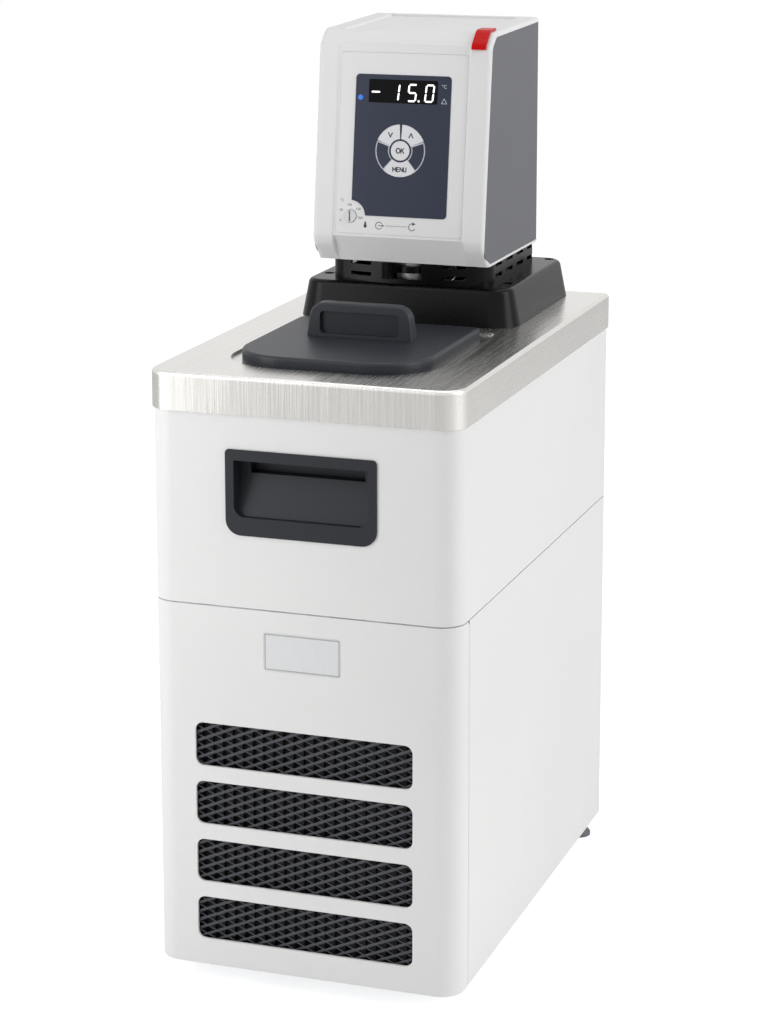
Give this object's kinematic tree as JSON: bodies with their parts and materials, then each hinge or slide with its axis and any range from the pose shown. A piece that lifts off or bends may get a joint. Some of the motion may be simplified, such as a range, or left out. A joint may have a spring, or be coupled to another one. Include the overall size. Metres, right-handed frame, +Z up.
{
  "type": "refrigerated circulator",
  "caption": "Compact refrigerated bath circulator: a steel-topped cooling cabinet on feet, lidded bath with handle, and a pumping and heating control head on a bridge at the back.",
  "frame": {"origin": "on the floor under the middle of the cabinet's footprint", "axes": "+X to the right seen from the front, +Y from the front to the back, +Z up"},
  "size_m": [0.23, 0.39, 0.6677],
  "materials": {
    "deck_steel": "brushed",
    "tank_steel": "satin",
    "screw_steel": "satin",
    "cabinet_white": "fine satin paint",
    "head_white": "satin moulded",
    "slate": "fine moulded grain",
    "black_satin": "satin moulded",
    "socket_black": "moulded",
    "side_grey": "fine moulded grain",
    "foil_navy": "printed foil",
    "window_smoke": "smooth",
    "key_pale": "smooth",
    "dial_grey": "smooth",
    "light_blue": "clear",
    "rocker_red": "smooth",
    "badge_metal": "brushed",
    "mesh_black": "powder coat",
    "galvanised": "zinc coated",
    "rubber_grey": "matt",
    "copper": "drawn",
    "motor_black": "gloss paint",
    "motor_metal": "cast",
    "fan_plastic": "moulded",
    "foam": "foam",
    "board_green": "circuit board",
    "valve_brass": "turned",
    "hose_clear": "hose"
  },
  "bodies": {
    "cabinet": {"badge_plate": "badge_metal", "base_pan": "galvanised", "bath_lid": "slate", "bath_pipes": "tank_steel", "bath_tank": "tank_steel", "bridge_cover": "black_satin", "circuit_breaker": "socket_black", "compressor": "motor_black", "compressor_mounts": "rubber_grey", "condenser": "motor_metal", "control_board": "board_green", "deck_plate": "deck_steel", "display_window": "window_smoke", "drain_pipe": "hose_clear", "drain_valve": "valve_brass", "evaporator_coil": "tank_steel", "fan_motor": "motor_black", "fan_shroud": "galvanised", "fascia": "head_white", "filter_dryer": "copper", "float_rod": "tank_steel", "front_cover": "cabinet_white", "grips": "slate", "head_cover": "head_white", "head_housing": "side_grey", "heater_coil": "tank_steel", "keypad_foil": "foil_navy", "lower_housing": "cabinet_white", "mid_shelf": "galvanised", "motor_plate": "galvanised", "power_sockets": "socket_black", "pump_lantern": "motor_metal", "pump_motor": "motor_metal", "pump_nipples": "tank_steel", "pump_plate": "tank_steel", "pump_tube": "tank_steel", "rear_grille": "galvanised", "refrigerant_pipes": "copper", "rocker_body": "socket_black", "rubber_feet": "rubber_grey", "screws": "screw_steel", "shaft_bush": "fan_plastic", "slotted_neck": "black_satin", "status_light": "light_blue", "tank_insulation": "foam", "temperature_probe": "tank_steel", "upper_housing": "cabinet_white", "vent_mesh": "mesh_black"},
    "key_down": {"key_down": "key_pale"},
    "key_up": {"key_up": "key_pale"},
    "key_ok": {"key_ok": "key_pale"},
    "key_menu": {"key_menu": "key_pale"},
    "power_rocker": {"power_rocker": "rocker_red"},
    "cutout_dial": {"cutout_dial": "dial_grey"},
    "flow_lever": {"flow_lever": "black_satin"},
    "pump_rotor": {"pump_shaft": "tank_steel", "impeller": "fan_plastic"},
    "fan": {"fan_blades": "fan_plastic"},
    "level_float": {"level_float": "fan_plastic"},
    "drain_knob": {"drain_knob": "black_satin"}
  },
  "joints": [
    {"name": "key_down_press", "type": "slide", "parent": "cabinet", "child": "key_down", "axis": [0, 0.9921, -0.1253], "range_m": [0, 0.0005], "stiffness_N_per_m": 800},
    {"name": "key_up_press", "type": "slide", "parent": "cabinet", "child": "key_up", "axis": [0, 0.9921, -0.1253], "range_m": [0, 0.0005], "stiffness_N_per_m": 800},
    {"name": "key_ok_press", "type": "slide", "parent": "cabinet", "child": "key_ok", "axis": [0, 0.9921, -0.1253], "range_m": [0, 0.0005], "stiffness_N_per_m": 800},
    {"name": "key_menu_press", "type": "slide", "parent": "cabinet", "child": "key_menu", "axis": [0, 0.9921, -0.1253], "range_m": [0, 0.0005], "stiffness_N_per_m": 800},
    {"name": "rocker_tilt", "type": "hinge", "parent": "cabinet", "child": "power_rocker", "pos_m": [0.0572, 0.038, 0.6512], "axis": [1, 0, 0], "range_deg": [0, 6]},
    {"name": "dial_turn", "type": "hinge", "parent": "cabinet", "child": "cutout_dial", "pos_m": [-0.0379, 0.01268, 0.5289], "axis": [0, -0.9921, 0.1253], "range_deg": [-135, 135]},
    {"name": "lever_swing", "type": "hinge", "parent": "cabinet", "child": "flow_lever", "pos_m": [0, 0.052, 0.4807], "axis": [0, 0, 1], "range_deg": [0, 48]},
    {"name": "pump_spin", "type": "hinge", "parent": "cabinet", "child": "pump_rotor", "pos_m": [0, 0.052, 0.4482], "axis": [0, 0, 1], "continuous": true},
    {"name": "fan_spin", "type": "hinge", "parent": "cabinet", "child": "fan", "pos_m": [0, -0.1433, 0.116], "axis": [0, 1, 0], "continuous": true},
    {"name": "float_lift", "type": "slide", "parent": "cabinet", "child": "level_float", "axis": [0, 0, 1], "range_m": [0, 0.012]},
    {"name": "drain_turn", "type": "hinge", "parent": "cabinet", "child": "drain_knob", "pos_m": [0.06, -0.176, 0.238], "axis": [0, -1, 0], "range_deg": [0, 90]}
  ]
}
